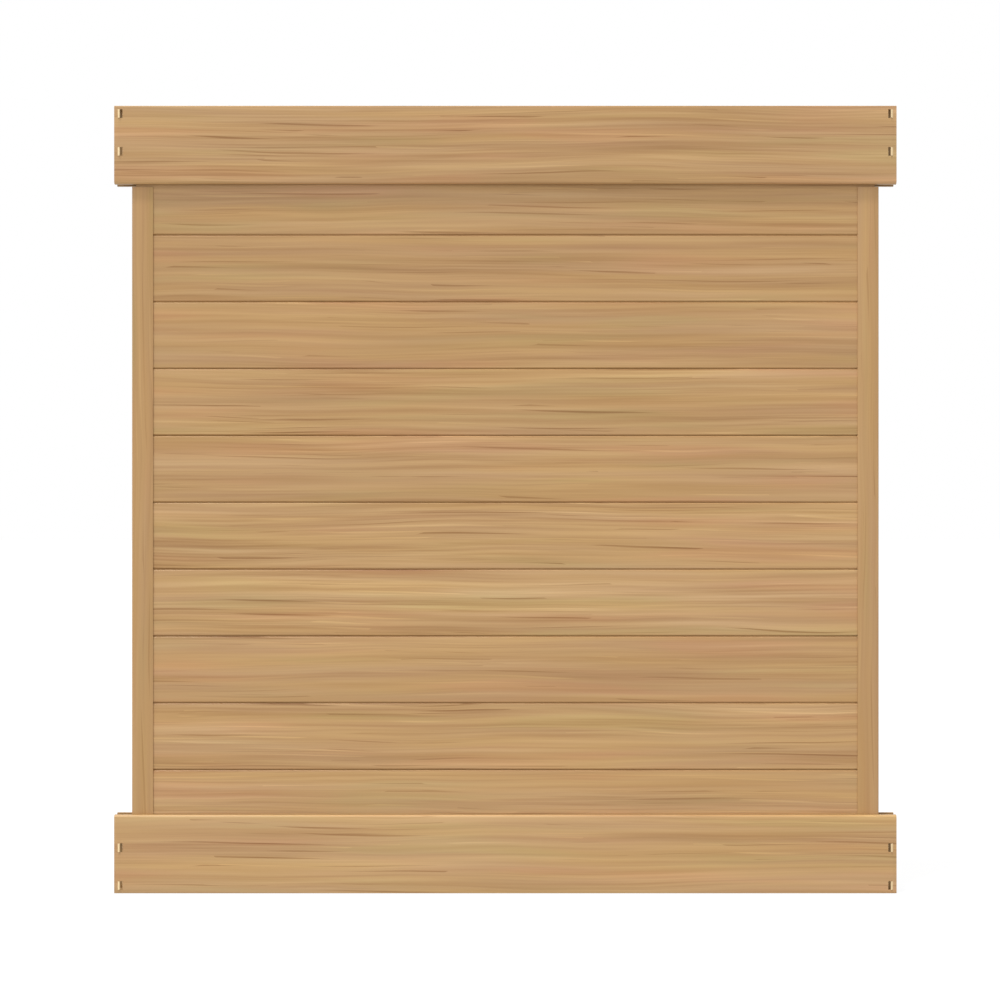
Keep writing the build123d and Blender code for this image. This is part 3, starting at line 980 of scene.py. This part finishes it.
# %% Two channels
SCREW_COUNT = 4
SCREW_RADIUS = 2.6
SCREW_INSET = 0.1
channels = []
for node, quarter in (("left_channel", pi / 2), ("right_channel", -pi / 2)):
    low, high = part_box(node)
    web = low.x if node == "left_channel" else high.x
    length = high.z - low.z
    channel = extrude(f"printed_{node}", channel_skin, None, length, (0, 0, quarter),
                      (web, 0, (low.z + high.z) / 2), (channel_vinyl, channel_vinyl, cut_vinyl))
    run_tree(tidy_mesh(channel), drilling, count=SCREW_COUNT, first=(web, 0, low.z + SCREW_INSET),
             step=(0, 0, (length - 2 * SCREW_INSET) / (SCREW_COUNT - 1)), radius=SCREW_RADIUS * MM,
             depth=4 * CHANNEL_WALL * MM, turn=(0, pi / 2, 0), bore=cut_vinyl)
    channels.append((tidy_mesh(channel), node, "channel_vinyl"))

# %% [markdown]
# The stiffener lies in the bottom rail with its web down, so its section is turned the other way up from the
# channel's. The drain holes go through it as well, in line with those of the rail.

# %% The stiffener
WEB_DOWN = (-pi / 2, 0.0, pi / 2)
low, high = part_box("bottom_rail_stiffener")
stiffener = extrude("drawn_stiffener", stiffener_skin, None, high.x - low.x, WEB_DOWN,
                    (0, 0, low.z), (drawn_aluminium, drawn_aluminium, drawn_aluminium))
drain(tidy_mesh(stiffener), drawn_aluminium)

# %% [markdown]
# ## Handing the pieces to the frame
#
# Each visual piece rides on the panel's one body and stands for its imported piece. The
# section drawings have done their work and are removed.

# %% Ride and replace
pieces = boards + channels + [
    (tidy_mesh(bottom_rail), "bottom_rail", "rail_vinyl"),
    (tidy_mesh(top_rail), "top_rail", "rail_vinyl"),
    (tidy_mesh(stiffener), "bottom_rail_stiffener", "stiffener_metal"),
]
for piece, node, finish in pieces:
    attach(piece, "root")
    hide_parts(node)
for drawing in [item for item in bpy.data.objects if item.type == "CURVE"]:
    bpy.data.objects.remove(drawing)
triangles = sum(len(face.vertices) - 2 for piece, node, finish in pieces for face in piece.data.polygons)
print("pieces:", len(pieces), "triangles:", triangles)

# %% [markdown]
# ## Light, floor and camera
#
# The panel stands in soft light from a sky that is a little brighter overhead and on the left. Whatever
# shows the background itself, to the camera or as a mirror image, sees plain white.

# %% Sky
HORIZON = 0.88
OVERHEAD = 0.20
LEFT_SHARE = 0.35
WHITE = (1, 1, 1, 1)


def shows_background(tree):
    """1 for the rays that show the background itself: straight, mirrored or through glass."""
    rays = put(tree, "ShaderNodeLightPath").outputs
    seen = calc(tree, "MAXIMUM", rays["Is Camera Ray"], rays["Is Transmission Ray"])
    return calc(tree, "MAXIMUM", seen, rays["Is Glossy Ray"])


world = bpy.data.worlds.new("soft sky")
bpy.context.scene.world = world
world.use_nodes = True
tree = world.node_tree
direction = put(tree, "ShaderNodeTexCoord").outputs["Generated"]
towards = put(tree, "ShaderNodeSeparateXYZ", {0: direction}).outputs
light = calc(tree, "MULTIPLY_ADD", calc(tree, "MAXIMUM", towards["Z"], 0.0), OVERHEAD, HORIZON)
light = calc(tree, "MULTIPLY", light, calc(tree, "MULTIPLY_ADD", towards["X"], -LEFT_SHARE, 1.0))
strength = between(tree, shows_background(tree), 0.0, 1.0, to_low=light, to_high=1.0)
tree.links.new(strength, tree.nodes["Background"].inputs["Strength"])
tree.nodes["Background"].inputs["Color"].default_value = WHITE
print("sky nodes:", len(tree.nodes))

# %% [markdown]
# One soft lamp stands high on the left in front. It draws the shadow under the top rail and the light on
# the upper edges.

# %% Lamp
LAMP_STRENGTH = 1.75
LAMP_SPREAD = radians(7.5)
LAMP_HEIGHT = radians(69)
LAMP_TO_LEFT = radians(45)
lamp_data = bpy.data.lights.new("high left lamp", "SUN")
lamp_data.energy = LAMP_STRENGTH
lamp_data.angle = LAMP_SPREAD
lamp = bpy.data.objects.new("high left lamp", lamp_data)
bpy.context.scene.collection.objects.link(lamp)
over_ground = cos(LAMP_HEIGHT)
to_lamp = Vector((-sin(LAMP_TO_LEFT) * over_ground, -cos(LAMP_TO_LEFT) * over_ground, sin(LAMP_HEIGHT)))
lamp.rotation_euler = to_lamp.to_track_quat("Z", "Y").to_euler()
print("towards the lamp:", [round(part, 2) for part in to_lamp])

# %% [markdown]
# The floor gives back an even light, so that the lower boards are as bright as the upper ones. Seen
# directly it is white, from a glow with a little dark paint, which keeps only the shade close to the rail.

# %% Floor
FLOOR_REACH = 40.0
FLOOR_LIGHT = 0.62
FLOOR_GLOW = 0.89
FLOOR_PAINT = (0.12, 0.12, 0.12, 1)
floor = new_piece("floor")
corners = [(-FLOOR_REACH, -FLOOR_REACH, 0), (FLOOR_REACH, -FLOOR_REACH, 0),
           (FLOOR_REACH, FLOOR_REACH, 0), (-FLOOR_REACH, FLOOR_REACH, 0)]
floor.data.from_pydata(corners, [], [(0, 1, 2, 3)])
floor_paint = bpy.data.materials.new("pale floor")
floor_paint.use_nodes = True
tree = floor_paint.node_tree
tree.nodes.remove(tree.nodes["Principled BSDF"])
even = put(tree, "ShaderNodeEmission", {"Strength": FLOOR_LIGHT}).outputs[0]
shaded = put(tree, "ShaderNodeBsdfDiffuse", {"Color": FLOOR_PAINT}).outputs[0]
glow = put(tree, "ShaderNodeEmission", {"Strength": FLOOR_GLOW}).outputs[0]
white = put(tree, "ShaderNodeAddShader", {0: shaded, 1: glow}).outputs[0]
floor_mix = put(tree, "ShaderNodeMixShader", {0: shows_background(tree), 1: even, 2: white}).outputs[0]
tree.links.new(floor_mix, tree.nodes["Material Output"].inputs["Surface"])
floor.data.materials.append(floor_paint)
print("floor nodes:", len(tree.nodes))

# %% [markdown]
# The camera looks straight at the front from 4.6 metres before the rails, level with the middle of the
# panel. The size of a pixel at the rail's front sets the lens.

# %% Camera
DISTANCE = 4.6
PIXEL = 0.0022724
IMAGE_WIDTH = 1000
SENSOR = 36.0
CAMERA_ACROSS = -0.0122
CAMERA_HEIGHT = 0.8940
camera_data = bpy.data.cameras.new("front camera")
camera_data.sensor_width = SENSOR
camera_data.lens = SENSOR * DISTANCE / (IMAGE_WIDTH * PIXEL)
camera = bpy.data.objects.new("front camera", camera_data)
camera.location = (CAMERA_ACROSS, -RAIL_HALF * MM - DISTANCE, CAMERA_HEIGHT)
camera.rotation_euler = (pi / 2, 0, 0)
bpy.context.scene.collection.objects.link(camera)
bpy.context.scene.camera = camera
bpy.context.scene.view_settings.view_transform = "Standard"
print("lens:", round(camera_data.lens, 2))
